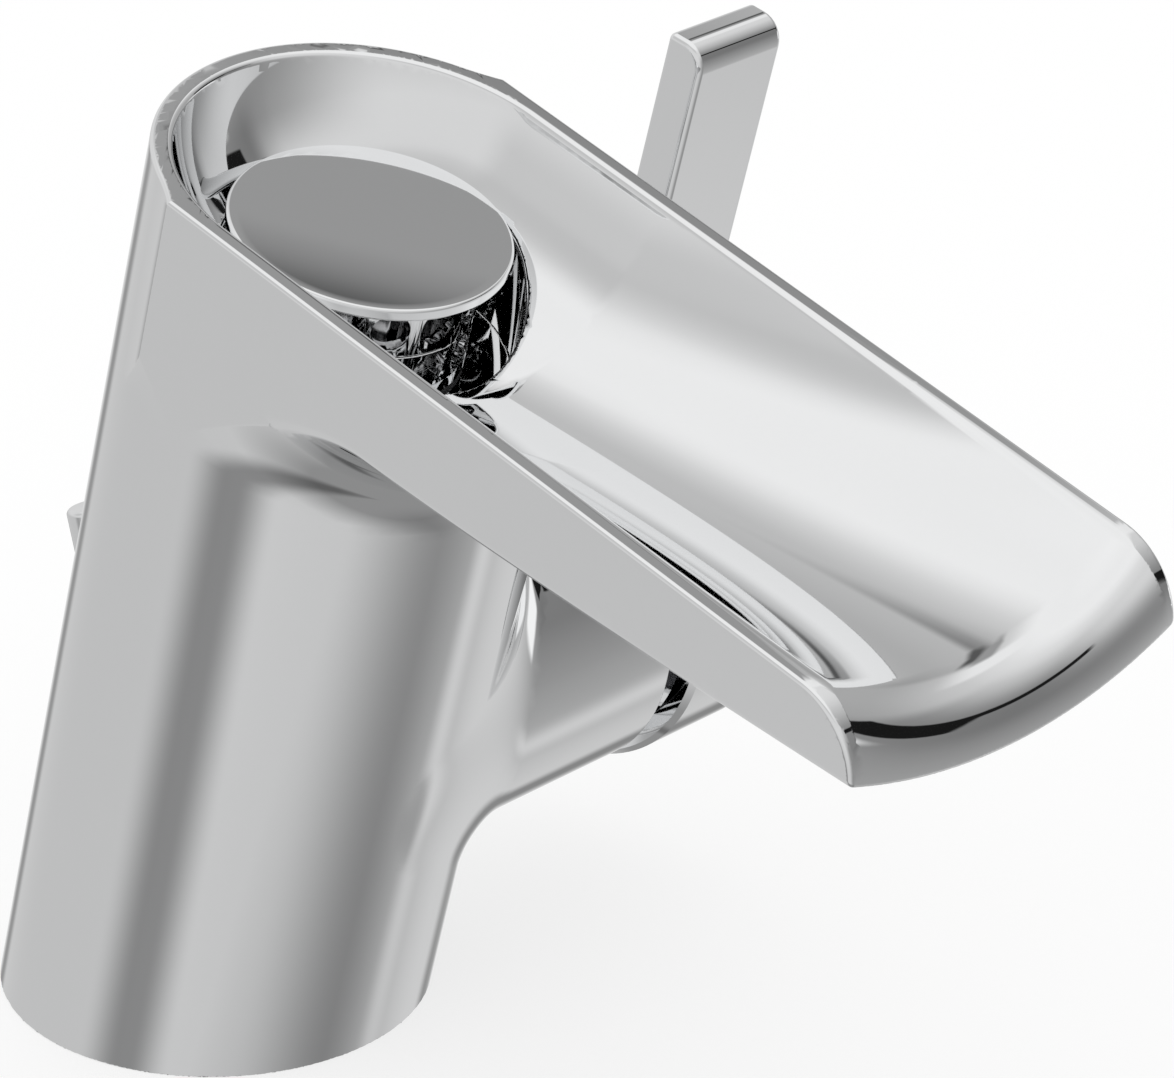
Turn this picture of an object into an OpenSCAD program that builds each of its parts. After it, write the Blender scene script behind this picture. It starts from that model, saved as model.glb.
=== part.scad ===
// Single-hole basin mixer with an open waterfall spout, a side lever and a pop-up lift rod.
// The body leans towards the spout. Most pieces are drawn in the leaning frame: x stays level,
// y runs across the body towards the back and z runs up the body's own axis.

/* [Body] */
// Diameter of the round body
body_d = 50; // [48:0.5:54]
// Lean of the body towards the spout, in degrees
lean = 16; // [14:0.5:18]
// Height of the open rim, measured along the leaning axis
rim_height = 114; // [110:1:124]
// Thickness of the body wall round the inner cavity
body_wall = 3.6; // [3:0.1:4.2]
// Thickness of the rim and the spout's side walls
rim_wall = 2.3; // [2:0.1:2.8]

/* [Spout] */
// Length of the spout from the body axis to the end of its straight top edge
spout_length = 84.5; // [76:0.5:92]
// Radius of the rounded spout tip, seen from the side
tip_radius = 9; // [7:0.5:11]
// How far the lip stands beyond the rounded tip
lip_reach = 3; // [1:0.5:5]
// Depth of the water pit below the rim
pit_depth = 22.3; // [21:0.1:26]
// Radius of the water pit
pit_r = 19; // [18.5:0.1:19.6]

/* [Branch and handle] */
// Height of the side branch's axis, measured along the leaning axis
branch_height = 41; // [39:0.5:46]
// Diameter of the side branch
branch_d = 44.7; // [44.2:0.1:46]
// Distance from the body axis to the end of the branch
branch_length = 43.1; // [42:0.1:44]
// Shadow gap between the branch and the handle hub
hub_gap = 3.8; // [3.6:0.1:5]
// Diameter of the handle hub
hub_d = 46.8; // [45.5:0.1:49]
// Length of the handle hub along the branch, also the width of the lever
hub_length = 13.8; // [12:0.2:16]
// Thickness of the lever bar
lever_thickness = 5.5; // [4.5:0.1:7]
// Height of the lever's tip above the rim, measured along the leaning axis
lever_above_rim = 2.2; // [0:0.1:8]

/* [Outlet] */
// Diameter of the round outlet cap
cap_d = 31.4; // [29:0.2:33]
// Depth of the cap's top below the rim
cap_depth = 7.3; // [6:0.1:8]
// Outer diameter of the perforated rings
ring_d = 26; // [24:0.2:27]
// Number of holes in each ring
ring_holes = 14; // [12:1:16]
// Radius of the ring holes
ring_hole_r = 2.2; // [1.6:0.1:2.3]

/* [Cartridge] */
// Diameter of the mixing cartridge
cartridge_d = 35; // [34.6:0.1:35.2]
// Distance from the cartridge's pivot to the drive end of its stem
stem_arm = 10; // [9.5:0.1:10.4]
// Width and height of the square stem
stem_side = 6; // [5:0.2:6.4]

/* [Lift rod] */
// Diameter of the lift knob
knob_d = 6; // [5.4:0.1:6.4]
// Length of the lift knob
knob_length = 9; // [7:0.5:9.4]
// Diameter of the lift rod
rod_d = 4.4; // [3.8:0.1:4.8]
// Distance of the knob's top behind the base centre
knob_back = 18.8; // [18:0.2:20.5]
// Height of the knob's top above the deck
knob_height = 54.5; // [53:0.5:58]
// Backward tilt of the lift rod from upright, in degrees
rod_tilt = 14.5; // [14:0.5:16]

/* [Fits] */
// Radial clearance of turning and sliding fits
run_gap = 0.06; // [0.03:0.01:0.09]
// Clearance between pieces that are assembled and stay put
seat_gap = 0.05; // [0.02:0.01:0.1]
// Clearance between a moving piece and what it passes
pass_gap = 0.4; // [0.3:0.05:0.6]

/* [Hidden] */
$fn = 96;

// Overrun of every cut past the surface that it opens
over = 1;

// Body values
body_r = body_d / 2;
cavity_r = body_r - body_wall;
bowl_r = body_r - rim_wall;
pit_floor = rim_height - pit_depth;
pit_slab = 13.7;
cavity_top = pit_floor - pit_slab;
// The flat spout sides lie this far inside the round body, so the two faces cross cleanly
side_inset = 0.1;
spout_half = body_r - side_inset;
channel_half = bowl_r - side_inset;

// Gasket under the base
gasket_height = 1.5;
gasket_inner_r = body_r - 2.7;
gasket_outer_r = body_r - 0.8;

// The open channel and the underside are two round cones that lie under the spout.
// Each has its tip behind the body, a slope of its lowest line and a half angle.
trough_tip_back = 37.3;
trough_tip_depth = 26.4;
trough_slope = 9.45;
trough_half_angle = 28.8;
under_tip_back = 55.3;
under_tip_depth = 29.8;
under_slope = 7.15;
under_half_angle = 28.8;
lip_drop = 12;
// Concave web that carries the spout where it leaves the body
web_radius = 17;
web_half = spout_half - side_inset;
web_sink = 0.3;
web_root = 1.2;
web_sections = 24;
web_steps = 10;

// Inlet block in the base, square to the leaning axis
clip_height = 1.2;
clip_bottom = 8.3;
clip_inner_r = cavity_r - 2.4;
clip_outer_r = cavity_r + 1;
block_bottom = clip_bottom + clip_height + seat_gap;
block_height = 12;
block_top = block_bottom + block_height;
ledge_r = cavity_r - 1;
inlet_r = 4.5;
inlet_depth = 8;
passage_r = 3;
stud_r = 3.4;
stud_cover = 2.55;
stud_top = block_top - stud_cover;
stud_x = 10;
stud_y = -5;

// Risers between the inlet block and the cartridge socket
riser_r = 4;
riser_bore_r = 3;
riser_x = -9.5;
riser_y = 7;
riser_seat = 3;
outlet_riser_r = 5;
outlet_riser_bore_r = 3.8;

// Cartridge socket: a cup in the branch with a drilled block inside the body
socket_floor_x = 8;
socket_floor = 4;
socket_wall = 1.4;
cartridge_r = cartridge_d / 2;
cup_r = cartridge_r + seat_gap;
socket_r = cup_r + socket_wall;
branch_bore_r = socket_r + seat_gap;
flange_r = socket_r + 1;
flange_length = 2;
thread_r = flange_r + seat_gap;
nut_length = 6.5;
nut_end_gap = 0.6;
nut_end_x = branch_length - nut_end_gap;
nut_seat_x = nut_end_x - nut_length;
manifold_left = -14.5;
manifold_half_width = 12.5;
manifold_top = 13;
manifold_bottom = 12;
port_y = riser_y;
port_w = 7;
mixed_port_w = -8;
port_r = 2.6;
mixed_port_r = 3.6;

// Cartridge, along the branch
branch_r = branch_d / 2;
cartridge_x = socket_floor_x + socket_floor;
gasket_sheet = 0.6;
base_plate = 1.6;
housing_x = cartridge_x + gasket_sheet + base_plate;
disc_height = 2.8;
fixed_disc_r = 15;
moving_disc_r = 12.4;
moving_disc_x = housing_x + disc_height + seat_gap;
carrier_x = moving_disc_x + disc_height;
carrier_height = 4.2;
drive_x = carrier_x + carrier_height / 2;
pivot_x = drive_x + stem_arm;
rotor_x = carrier_x + carrier_height + pass_gap;
rotor_r = 12;
rotor_end_x = branch_length + 1.4;
chamber_r = fixed_disc_r + seat_gap;
neck_r = 14.2;
neck_end_x = branch_length + 0.4;
rotor_ring_r = 1;
rotor_groove_back = 6.55;
rotor_groove_x = rotor_end_x - rotor_groove_back;

// Clamp nut and the cover ring that shows in the shadow gap
nut_bore_r = neck_r + 0.3;
nut_key_r = 1.4;
nut_key_count = 4;
cover_r = 17.2;
cover_length = 6;
cover_wall = 2.2;
cover_lip_r = 8.5;
cover_lip = 1.2;

// Handle
hub_r = hub_d / 2;
hub_x = branch_length + hub_gap;
hub_end_x = hub_x + hub_length;
hub_edge = 0.7;
hub_recess_r = hub_r - 2.6;
hub_recess = 5.4;
hub_boss_r = 7;
hub_boss = 2;
stem_half = stem_side / 2;
stem_end_gap = 0.3;
socket_end_x = hub_end_x - 2.4;
stem_end_x = socket_end_x - stem_end_gap;
tilt_room = 2.2;
pin_r = 1.5;
pin_half_length = 9;
ball_r = 1.8;
screw_x = (hub_x + hub_recess + hub_end_x) / 2;
access_r = 2.9;
screw_head = 3;
screw_shank_r = 1.5;
screw_reach = 9;
screw_key_r = 1.3;
screw_key = 1.8;
grub_length = 7;
plug_length = 2.4;
plug_inset = 0.25;
lever_foot = 1.6;
neck_of_stem_r = 1.3;
neck_of_stem = 4.2;
lever_front_r = 3;
lever_back_r = 0.8;
lever_tip = rim_height - branch_height + lever_above_rim;

// Outlet
cap_r = cap_d / 2;
cap_height = 1.5;
cap_edge = 0.5;
ring_r = ring_d / 2;
ring_wall = 1.4;
hub_flange = 1.5;
outlet_sheet = 0.6;
cap_top = rim_height - cap_depth;
ring_bottom = pit_floor + outlet_sheet + hub_flange;
ring_top = cap_top - cap_height;
ring_seam_drop = 0.85;
ring_seam = (ring_bottom + ring_top) / 2 - ring_seam_drop;
ring_seam_gap = 0.1;
lower_hole_z = (ring_bottom + ring_seam) / 2;
upper_hole_z = (ring_seam + ring_top) / 2;
first_hole_angle = -4.4;
outlet_bore_r = 8;
outlet_stem = 8.2;
outlet_port_r = 1.5;
outlet_port_ring = 5;
outlet_port_count = 6;
outlet_chamber_r = outlet_port_ring + outlet_port_r + pass_gap;
cap_stud_r = 2.45;
cap_boss = 1.8;
cap_boss_r = ring_r - ring_wall - seat_gap;
sleeve_r = 10.6;
sleeve_wall = 1;
sleeve_slots = 16;
sleeve_slot = 1.6;
sleeve_end = 1.5;
chamber_floor = 2.5;
stud_depth = 4;
stud_end_wall = 1;

// Lift rod
knob_r = knob_d / 2;
rod_r = rod_d / 2;
knob_edge = 0.6;
rod_foot = 2;
rod_socket_r = 1.65;
rod_socket = 8;
knob_spigot = 3;
rod_end = (knob_height - rod_foot) / cos(rod_tilt);
bush_wall = 1;
bush_top_height = 32.5;
bush_bottom_height = 28.4;
bush_top = (knob_height - bush_top_height) / cos(rod_tilt);
bush_bottom = (knob_height - bush_bottom_height) / cos(rod_tilt);
guide_r = 5.5;
guide_bottom_height = 28;
guide_bottom = (knob_height - guide_bottom_height) / cos(rod_tilt);
rod_bore_r = rod_r + bush_wall + seat_gap;

// Draws its children in the leaning frame
module leaning() {
    rotate([lean, 0, 0]) children();
}

// Draws its children along the branch, with z on the branch axis
module along_branch() {
    leaning() translate([0, 0, branch_height]) rotate([0, 90, 0]) children();
}

// Draws its children on the branch axis in the leaning frame, with x along the branch
module at_branch() {
    leaning() translate([0, 0, branch_height]) children();
}

// Draws its children along the lift rod, with z = 0 at the knob's top and running downwards
module along_rod() {
    translate([0, knob_back, knob_height]) rotate([-rod_tilt, 0, 0]) mirror([0, 0, 1]) children();
}

module tube(outer_r, inner_r, height) {
    difference() {
        cylinder(r = outer_r, h = height);
        translate([0, 0, -over]) cylinder(r = inner_r, h = height + 2 * over);
    }
}

module torus(middle_r, wire_r) {
    rotate_extrude() translate([middle_r, 0]) circle(r = wire_r, $fn = 32);
}

// Round disc whose upper edge has a small radius
module edged_disc(radius, height, edge) {
    steps = 6;
    arc = [for (i = [0 : steps])
        [radius - edge + edge * cos(90 * i / steps), height - edge + edge * sin(90 * i / steps)]];
    rotate_extrude() polygon(concat([[0, 0], [radius, 0]], arc, [[0, height]]));
}

// Ring round the body's foot, cut level with the deck
module base_ring(inner_r, outer_r, height) {
    intersection() {
        leaning() translate([0, 0, -body_r]) tube(outer_r, inner_r, body_d);
        translate([-body_d, -body_d, -over]) cube([2 * body_d, 2 * body_d, height + over]);
    }
}

// Cone that lies under the spout, open towards the rim
module spout_cone(tip_back, tip_depth, slope, half_angle) {
    reach = 2 * spout_length;
    translate([0, tip_back, rim_height - tip_depth])
        rotate([90 - slope - half_angle, 0, 0])
            cylinder(r1 = 0, r2 = reach * tan(half_angle), h = reach, $fn = 180);
}

// Side outline of the spout, with the first number along the spout and the second above the rim
module spout_outline() {
    steps = 12;
    arc = [for (i = [0 : steps])
        [spout_length + tip_radius * sin(90 * i / steps), -tip_radius + tip_radius * cos(90 * i / steps)]];
    polygon(concat([[0, 0]], arc, [[spout_length + tip_radius + lip_reach, -lip_drop],
        [spout_length + tip_radius + lip_reach, -pit_depth], [0, -pit_depth]]));
}

module spout_solid() {
    intersection() {
        translate([-spout_half, 0, rim_height])
            rotate([90, 0, -90]) mirror([0, 0, 1])
                linear_extrude(2 * spout_half) spout_outline();
        spout_cone(under_tip_back, under_tip_depth, under_slope, under_half_angle);
    }
}

// Height of a spout cone's lower side above its tip, at a place across it and a distance along it
function cone_height(x, along, slope, half_angle) =
    let (lift = slope + half_angle, shrink = cos(half_angle),
         a = sin(lift) ^ 2 - shrink ^ 2, b = along * cos(lift) * sin(lift),
         c = (along * cos(lift)) ^ 2 - shrink ^ 2 * (x ^ 2 + along ^ 2))
    (sqrt(b ^ 2 - a * c) - b) / a;

// Level of the underside, sunk a little into the spout, at x and at a distance s from the body axis
function web_level(x, s) = rim_height - under_tip_depth + web_sink
    + cone_height(x, s + under_tip_back, under_slope, under_half_angle);

// Level of the channel's side at the middle of the bowl, where the bowl meets the channel
function bowl_level(x) = rim_height - trough_tip_depth
    + cone_height(x, trough_tip_back, trough_slope, trough_half_angle);

// One slice of the web, square to x: a hollow arc from the body's front to the underside
function web_slice(x) =
    let (front = sqrt(body_r ^ 2 - x ^ 2) - web_sink, end = front + web_radius,
         top = web_level(x, end), middle = top - web_radius)
    concat([for (i = [0 : web_steps])
                [x, -end + web_radius * cos(90 * i / web_steps),
                 middle + web_radius * sin(90 * i / web_steps)]],
           [[x, -end, top + web_root], [x, web_root - front, top + web_root],
            [x, web_root - front, middle]]);

// Concave web under the root of the spout
module spout_web() {
    count = web_steps + 4;
    corner = web_steps + 2;
    last = web_sections * count;
    shares = [for (k = [0 : web_sections]) sin(90 * (2 * k / web_sections - 1))];
    points = [for (share = shares) each web_slice(web_half * share)];
    sides = [for (k = [0 : web_sections - 1], i = [0 : count - 1])
        each [[k * count + i, k * count + (i + 1) % count, (k + 1) * count + i],
              [(k + 1) * count + i, k * count + (i + 1) % count, (k + 1) * count + (i + 1) % count]]];
    // Each end is a fan of triangles about the corner inside the casting
    ends = [for (i = [1 : count - 2]) let (a = (corner + i) % count, b = (corner + i + 1) % count)
        each [[corner, b, a], [last + corner, last + a, last + b]]];
    polyhedron(points, concat(sides, ends), convexity = 4);
}

// The channel starts at the bowl's middle and runs out over the lip
module channel_plan() {
    translate([-channel_half, -2 * spout_length, rim_height - 2 * pit_depth])
        cube([2 * channel_half, 2 * spout_length, 3 * pit_depth]);
}

module water_channel() {
    intersection() {
        spout_cone(trough_tip_back, trough_tip_depth, trough_slope, trough_half_angle);
        channel_plan();
    }
    // The bowl behind it slopes from its wall down to the pit
    foot = bowl_level(pit_r);
    edge = bowl_level(bowl_r);
    translate([0, 0, foot]) cylinder(r1 = pit_r, r2 = bowl_r, h = edge - foot);
    translate([0, 0, edge]) cylinder(r = bowl_r, h = rim_height - edge + over);
    translate([0, 0, pit_floor]) cylinder(r = pit_r, h = pit_depth + over);
}

module casting_outside() {
    leaning() {
        translate([0, 0, -body_r]) cylinder(r = body_r, h = rim_height + body_r);
        spout_solid();
        spout_web();
    }
    along_branch() cylinder(r = branch_r, h = branch_length);
}

module rod_bore(radius, from_top, length) {
    along_rod() translate([0, 0, from_top]) cylinder(r = radius, h = length);
}

module rod_guide() {
    intersection() {
        rod_bore(guide_r, 0, guide_bottom);
        leaning() cylinder(r = body_r - body_wall / 2, h = rim_height);
    }
}

module body_casting() {
    color([0.78, 0.79, 0.8]) {
        difference() {
            casting_outside();
            leaning() {
                translate([0, 0, -body_r]) cylinder(r = cavity_r, h = body_r + block_top);
                cylinder(r = ledge_r, h = cavity_top);
                translate([0, 0, clip_bottom - seat_gap])
                    cylinder(r = clip_outer_r + seat_gap, h = clip_height + 2 * seat_gap);
                translate([0, 0, cavity_top - over])
                    cylinder(r = outlet_riser_r + seat_gap, h = pit_floor - cavity_top);
                translate([0, 0, pit_floor - outlet_stem - over])
                    cylinder(r = outlet_bore_r, h = outlet_stem + 2 * over);
                water_channel();
            }
            along_branch() {
                cylinder(r = branch_bore_r, h = branch_length + over);
                translate([0, 0, nut_seat_x - flange_length])
                    cylinder(r = thread_r, h = branch_length - nut_seat_x + flange_length + over);
            }
            base_ring(gasket_inner_r - seat_gap, gasket_outer_r + seat_gap, gasket_height + seat_gap);
            rod_bore(rod_bore_r, -over, 2 * knob_height);
            translate([-2 * body_d, -2 * body_d, -body_d]) cube([4 * body_d, 4 * body_d, body_d]);
        }
        difference() {
            rod_guide();
            rod_bore(rod_bore_r, -over, 2 * knob_height);
        }
    }
}

module base_gasket() {
    color([0.12, 0.12, 0.13])
        difference() {
            base_ring(gasket_inner_r, gasket_outer_r, gasket_height);
            translate([-body_d, -body_d, -body_d]) cube([2 * body_d, 2 * body_d, body_d]);
        }
}

// Brass block that takes the two supply hoses and the fixing stud
module inlet_block() {
    color([0.8, 0.66, 0.36])
        difference() {
            leaning() difference() {
                translate([0, 0, block_bottom]) cylinder(r = cavity_r - seat_gap, h = block_height);
                for (side = [-1, 1]) translate([riser_x, side * riser_y, block_bottom]) {
                    translate([0, 0, -over]) cylinder(r = inlet_r, h = inlet_depth + over);
                    cylinder(r = passage_r, h = block_height + over);
                    translate([0, 0, block_height - riser_seat])
                        cylinder(r = riser_r + seat_gap, h = riser_seat + over);
                }
            }
            translate([stud_x, stud_y, 0]) cylinder(r = stud_r, h = stud_top);
            rod_bore(rod_r + pass_gap, 0, 2 * knob_height);
        }
}

// Open spring ring that holds the inlet block in the foot
module block_clip() {
    opening = 2 * riser_seat;
    color([0.6, 0.61, 0.63]) leaning() translate([0, 0, clip_bottom])
        difference() {
            tube(clip_outer_r, clip_inner_r, clip_height);
            translate([-opening / 2, -body_d, -over]) cube([opening, body_d, clip_height + 2 * over]);
        }
}

module riser(side) {
    bottom = block_top - riser_seat;
    top = branch_height - manifold_bottom + riser_seat - seat_gap;
    color([0.72, 0.45, 0.3]) leaning() translate([riser_x, side * riser_y, bottom])
        tube(riser_r, riser_bore_r, top - bottom);
}

module cold_riser() {
    riser(-1);
}

module hot_riser() {
    riser(1);
}

module outlet_riser() {
    bottom = branch_height + manifold_top - riser_seat;
    color([0.72, 0.45, 0.3]) leaning() translate([0, 0, bottom])
        tube(outlet_riser_r, outlet_riser_bore_r, pit_floor - outlet_stem - over - bottom);
}

// Places its children at the two supply ports, looking along the branch
module supply_ports() {
    for (side = [-1, 1]) translate([-port_w, side * port_y, 0]) children();
}

module all_ports(height) {
    supply_ports() translate([0, 0, -over]) cylinder(r = port_r, h = height + 2 * over);
    translate([-mixed_port_w, 0, -over]) cylinder(r = mixed_port_r, h = height + 2 * over);
}

module socket_outside() {
    // The drilled block clears the bore that it is pushed into
    intersection() {
        at_branch()
            translate([manifold_left, -manifold_half_width, -manifold_bottom])
                cube([socket_floor_x - manifold_left + seat_gap, 2 * manifold_half_width,
                      manifold_bottom + manifold_top]);
        leaning() cylinder(r = ledge_r - pass_gap, h = rim_height);
    }
    along_branch() {
        translate([0, 0, socket_floor_x]) cylinder(r = socket_r, h = nut_seat_x - socket_floor_x);
        translate([0, 0, nut_seat_x - flange_length]) cylinder(r = flange_r, h = flange_length);
    }
}

// Brass cup for the cartridge, with a drilled block that joins it to the risers
module cartridge_socket() {
    color([0.8, 0.66, 0.36])
        difference() {
            socket_outside();
            along_branch() {
                translate([0, 0, cartridge_x]) cylinder(r = cup_r, h = nut_seat_x - cartridge_x + over);
                supply_ports() translate([0, 0, riser_x])
                    cylinder(r = port_r, h = cartridge_x - riser_x + over);
                translate([-mixed_port_w, 0, 0]) cylinder(r = mixed_port_r, h = cartridge_x + over);
            }
            at_branch() {
                for (side = [-1, 1]) translate([riser_x, side * riser_y, -manifold_bottom - over]) {
                    cylinder(r = riser_bore_r, h = manifold_bottom + port_w + over);
                    cylinder(r = riser_r + seat_gap, h = riser_seat + over);
                }
                translate([0, 0, mixed_port_w])
                    cylinder(r = outlet_riser_bore_r, h = manifold_top - mixed_port_w + over);
                translate([0, 0, manifold_top - riser_seat])
                    cylinder(r = outlet_riser_r + seat_gap, h = riser_seat + over);
            }
        }
}

module port_gasket() {
    color([0.12, 0.12, 0.13]) along_branch() translate([0, 0, cartridge_x])
        difference() {
            cylinder(r = cartridge_r, h = gasket_sheet);
            all_ports(gasket_sheet);
        }
}

module cartridge_base() {
    color([0.9, 0.9, 0.88]) along_branch() translate([0, 0, cartridge_x + gasket_sheet])
        difference() {
            cylinder(r = cartridge_r, h = base_plate);
            all_ports(base_plate);
        }
}

module cartridge_housing() {
    color([0.9, 0.9, 0.88]) along_branch()
        difference() {
            union() {
                translate([0, 0, housing_x]) cylinder(r = cartridge_r, h = nut_seat_x - housing_x);
                translate([0, 0, housing_x]) cylinder(r = neck_r, h = neck_end_x - housing_x);
            }
            translate([0, 0, housing_x - over]) cylinder(r = chamber_r, h = rotor_x - housing_x + over);
            cylinder(r = rotor_r + run_gap, h = neck_end_x + over);
        }
}

module fixed_disc() {
    color([0.93, 0.92, 0.88]) along_branch() translate([0, 0, housing_x])
        difference() {
            cylinder(r = fixed_disc_r, h = disc_height);
            all_ports(disc_height);
        }
}

// The pocket in this disc joins the supply ports to the mixed port once the disc has moved up
module moving_disc() {
    pocket_r = 2 * mixed_port_r;
    lobe_w = port_w - port_r - pass_gap - port_r;
    color([0.95, 0.95, 0.92]) along_branch() translate([0, 0, moving_disc_x])
        difference() {
            cylinder(r = moving_disc_r, h = disc_height);
            translate([-mixed_port_w - mixed_port_r, 0, -over])
                cylinder(r = pocket_r, h = disc_height / 2 + over);
            for (side = [-1, 1]) translate([-lobe_w, side * port_y, -over])
                cylinder(r = port_r, h = disc_height / 2 + over);
        }
}

module disc_carrier() {
    color([0.25, 0.35, 0.6]) along_branch() translate([0, 0, carrier_x])
        difference() {
            cylinder(r = moving_disc_r, h = carrier_height);
            translate([0, 0, pass_gap / 2]) cylinder(r = ball_r + run_gap, h = carrier_height);
        }
}

module clamp_nut() {
    key_ring = (flange_r + nut_bore_r) / 2;
    color([0.8, 0.66, 0.36]) along_branch() translate([0, 0, nut_seat_x])
        difference() {
            tube(flange_r, nut_bore_r, nut_end_x - nut_seat_x);
            for (i = [0 : nut_key_count - 1]) rotate([0, 0, 360 * i / nut_key_count])
                translate([key_ring, 0, (nut_end_x - nut_seat_x) / 2])
                    cylinder(r = nut_key_r, h = nut_end_x - nut_seat_x);
        }
}

// Cover sleeve that shows in the shadow gap beside the hub
module neck_ring() {
    color([0.78, 0.79, 0.8]) along_branch() translate([0, 0, nut_end_x])
        difference() {
            cylinder(r = cover_r, h = cover_length);
            translate([0, 0, -over]) cylinder(r = cover_r - cover_wall, h = cover_length - cover_lip + over);
            translate([0, 0, -over]) cylinder(r = cover_lip_r, h = cover_length + 2 * over);
        }
}

module outlet_gasket() {
    color([0.12, 0.12, 0.13]) leaning() translate([0, 0, pit_floor])
        tube(ring_r - seat_gap, outlet_bore_r + seat_gap, outlet_sheet);
}

// Threaded hub in the pit floor: water passes round its middle and the cap's stud screws into it
module outlet_hub() {
    stem_r = outlet_bore_r - seat_gap;
    flange_z = pit_floor + outlet_sheet;
    head = chamber_floor + outlet_sheet + hub_flange + 2 * over;
    chamber_top = pit_floor - chamber_floor;
    color([0.8, 0.66, 0.36]) leaning()
        difference() {
            union() {
                translate([0, 0, pit_floor - outlet_stem])
                    cylinder(r = stem_r, h = outlet_stem + outlet_sheet);
                translate([0, 0, flange_z]) cylinder(r = ring_r - seat_gap, h = hub_flange);
            }
            translate([0, 0, pit_floor - outlet_stem - over])
                cylinder(r = outlet_chamber_r, h = chamber_top - pit_floor + outlet_stem + over);
            translate([0, 0, chamber_top - over])
                cylinder(r = cap_stud_r + seat_gap, h = head);
            for (i = [0 : outlet_port_count - 1]) rotate([0, 0, 360 * i / outlet_port_count])
                translate([outlet_port_ring, 0, chamber_top - over])
                    cylinder(r = outlet_port_r, h = head);
        }
}

// Ring with a row of round holes, seen from the front of the spout at the angle of its first hole
module holed_ring(bottom, top, hole_z) {
    color([0.78, 0.79, 0.8]) leaning()
        difference() {
            translate([0, 0, bottom]) tube(ring_r, ring_r - ring_wall, top - bottom);
            for (i = [0 : ring_holes - 1]) rotate([0, 0, first_hole_angle + 360 * i / ring_holes])
                translate([0, 0, hole_z]) rotate([90, 0, 0]) cylinder(r = ring_hole_r, h = ring_r + over);
        }
}

module lower_ring() {
    holed_ring(ring_bottom, ring_seam - ring_seam_gap, lower_hole_z);
}

module upper_ring() {
    holed_ring(ring_seam, ring_top, upper_hole_z);
}

// Slotted sleeve that spreads the water inside the rings
module flow_sleeve() {
    top = ring_top - cap_boss - seat_gap;
    color([0.55, 0.56, 0.58]) leaning()
        difference() {
            translate([0, 0, ring_bottom]) tube(sleeve_r, sleeve_r - sleeve_wall, top - ring_bottom);
            for (i = [0 : sleeve_slots / 2 - 1]) rotate([0, 0, 360 * i / sleeve_slots])
                translate([-sleeve_slot / 2, -ring_r, ring_bottom + sleeve_end])
                    cube([sleeve_slot, 2 * ring_r, top - ring_bottom - 2 * sleeve_end]);
        }
}

module cap_stud() {
    bottom = pit_floor - stud_depth;
    top = cap_top - stud_end_wall - seat_gap;
    color([0.6, 0.61, 0.63]) leaning() translate([0, 0, bottom])
        cylinder(r = cap_stud_r, h = top - bottom);
}

module outlet_cap() {
    color([0.78, 0.79, 0.8]) leaning()
        difference() {
            union() {
                translate([0, 0, ring_top]) edged_disc(cap_r, cap_height, cap_edge);
                translate([0, 0, ring_top - cap_boss]) cylinder(r = cap_boss_r, h = cap_boss + over / 2);
            }
            translate([0, 0, ring_top - cap_boss - over])
                cylinder(r = cap_stud_r + seat_gap, h = cap_boss + cap_height - stud_end_wall + over);
        }
}

module rod_bush() {
    color([0.9, 0.9, 0.88]) along_rod() translate([0, 0, bush_top])
        tube(rod_r + bush_wall, rod_r + run_gap, bush_bottom - bush_top);
}

// Turning sleeve of the cartridge: the stem tilts in its slot on the cross pin
module rotor() {
    slot_half = stem_half + tilt_room;
    color([0.25, 0.35, 0.6])
        difference() {
            along_branch() difference() {
                translate([0, 0, rotor_x]) cylinder(r = rotor_r, h = rotor_end_x - rotor_x);
                translate([0, 0, rotor_groove_x])
                    tube(rotor_r + over, rotor_r - 2 * rotor_ring_r - seat_gap,
                         2 * rotor_ring_r + 2 * seat_gap);
            }
            at_branch() {
                translate([rotor_x - over, -stem_half - run_gap, -slot_half])
                    cube([rotor_end_x - rotor_x + 2 * over, stem_side + 2 * run_gap, 2 * slot_half]);
                translate([pivot_x, 0, 0]) rotate([90, 0, 0])
                    cylinder(r = pin_r + seat_gap, h = 2 * rotor_r + 2 * over, center = true);
            }
        }
}

module rotor_o_ring() {
    color([0.12, 0.12, 0.13]) along_branch()
        translate([0, 0, rotor_groove_x + rotor_ring_r + seat_gap])
            torus(rotor_r - rotor_ring_r, rotor_ring_r);
}

module pivot_pin() {
    color([0.6, 0.61, 0.63]) at_branch() translate([pivot_x, 0, 0]) rotate([90, 0, 0])
        cylinder(r = pin_r, h = 2 * pin_half_length, center = true);
}

// Square stem from the ball in the disc carrier, through the pivot, to the hub
module stem() {
    square_x = drive_x + neck_of_stem;
    color([0.6, 0.61, 0.63]) at_branch()
        difference() {
            union() {
                translate([drive_x, 0, 0]) sphere(r = ball_r, $fn = 48);
                translate([drive_x, 0, 0]) rotate([0, 90, 0])
                    cylinder(r = neck_of_stem_r, h = neck_of_stem + over);
                translate([square_x, -stem_half, -stem_half])
                    cube([stem_end_x - square_x, stem_side, stem_side]);
            }
            translate([pivot_x, 0, 0]) rotate([90, 0, 0])
                cylinder(r = pin_r + run_gap, h = 2 * stem_side, center = true);
        }
}

module hub_outside() {
    translate([0, 0, hub_x]) cylinder(r1 = hub_r - hub_edge, r2 = hub_r, h = hub_edge);
    translate([0, 0, hub_x + hub_edge]) cylinder(r = hub_r, h = hub_length - 2 * hub_edge);
    translate([0, 0, hub_end_x - hub_edge]) cylinder(r1 = hub_r, r2 = hub_r - hub_edge, h = hub_edge);
}

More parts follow.
